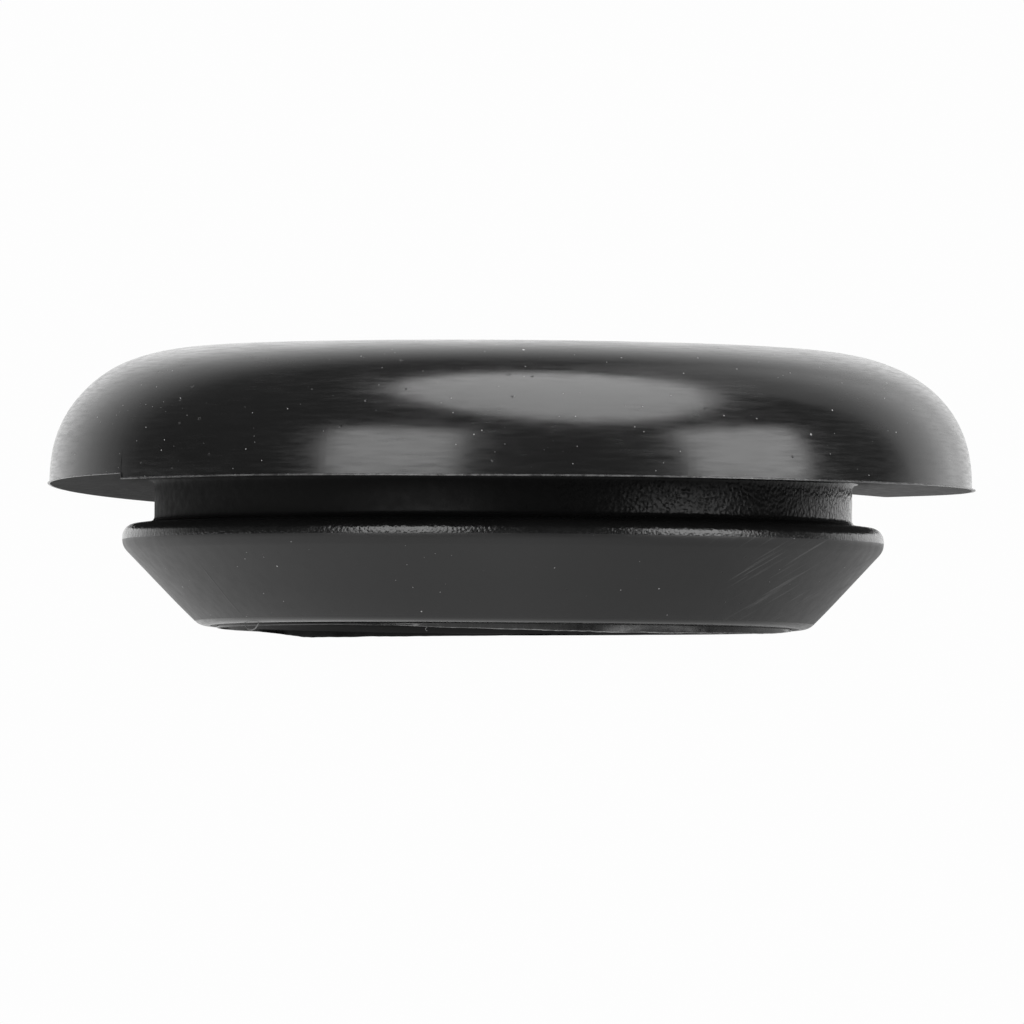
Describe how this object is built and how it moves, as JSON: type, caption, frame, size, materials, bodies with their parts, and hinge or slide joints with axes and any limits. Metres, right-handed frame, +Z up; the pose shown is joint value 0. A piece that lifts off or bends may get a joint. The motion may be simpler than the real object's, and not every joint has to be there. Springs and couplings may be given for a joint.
{
  "type": "desk grommet",
  "caption": "Round push-in desk grommet: domed cap, panel groove, barbed lower flange and a cable opening closed by soft hinged flaps.",
  "frame": {"origin": "centre of the foot's flat lower end, the lowest point", "axes": "+Z up along the axis of revolution, from the foot to the crown; +X through the middle of flap_1"},
  "size_m": [0.0666, 0.0666, 0.0201],
  "materials": {
    "black_soft_pvc": "satin",
    "black_soft_pvc_flap": "satin"
  },
  "bodies": {
    "body": {"grommet_body": "black_soft_pvc"},
    "flap_1": {"flap_1": "black_soft_pvc_flap"},
    "flap_2": {"flap_2": "black_soft_pvc_flap"},
    "flap_3": {"flap_3": "black_soft_pvc_flap"},
    "flap_4": {"flap_4": "black_soft_pvc_flap"},
    "flap_5": {"flap_5": "black_soft_pvc_flap"},
    "flap_6": {"flap_6": "black_soft_pvc_flap"},
    "flap_7": {"flap_7": "black_soft_pvc_flap"},
    "flap_8": {"flap_8": "black_soft_pvc_flap"}
  },
  "joints": [
    {"name": "flap_1_hinge", "type": "hinge", "parent": "body", "child": "flap_1", "pos_m": [0.01461, 0, 0.01678], "axis": [0, -1, 0], "range_deg": [-60, 75], "stiffness_Nm_per_rad": 0.004},
    {"name": "flap_2_hinge", "type": "hinge", "parent": "body", "child": "flap_2", "pos_m": [0.01033, 0.01033, 0.01678], "axis": [0.7071, -0.7071, 0], "range_deg": [-60, 75], "stiffness_Nm_per_rad": 0.004},
    {"name": "flap_3_hinge", "type": "hinge", "parent": "body", "child": "flap_3", "pos_m": [0, 0.01461, 0.01678], "axis": [1, 0, 0], "range_deg": [-60, 75], "stiffness_Nm_per_rad": 0.004},
    {"name": "flap_4_hinge", "type": "hinge", "parent": "body", "child": "flap_4", "pos_m": [-0.01033, 0.01033, 0.01678], "axis": [0.7071, 0.7071, 0], "range_deg": [-60, 75], "stiffness_Nm_per_rad": 0.004},
    {"name": "flap_5_hinge", "type": "hinge", "parent": "body", "child": "flap_5", "pos_m": [-0.01461, 0, 0.01678], "axis": [0, 1, 0], "range_deg": [-60, 75], "stiffness_Nm_per_rad": 0.004},
    {"name": "flap_6_hinge", "type": "hinge", "parent": "body", "child": "flap_6", "pos_m": [-0.01033, -0.01033, 0.01678], "axis": [-0.7071, 0.7071, 0], "range_deg": [-60, 75], "stiffness_Nm_per_rad": 0.004},
    {"name": "flap_7_hinge", "type": "hinge", "parent": "body", "child": "flap_7", "pos_m": [0, -0.01461, 0.01678], "axis": [-1, 0, 0], "range_deg": [-60, 75], "stiffness_Nm_per_rad": 0.004},
    {"name": "flap_8_hinge", "type": "hinge", "parent": "body", "child": "flap_8", "pos_m": [0.01033, -0.01033, 0.01678], "axis": [-0.7071, -0.7071, 0], "range_deg": [-60, 75], "stiffness_Nm_per_rad": 0.004}
  ]
}
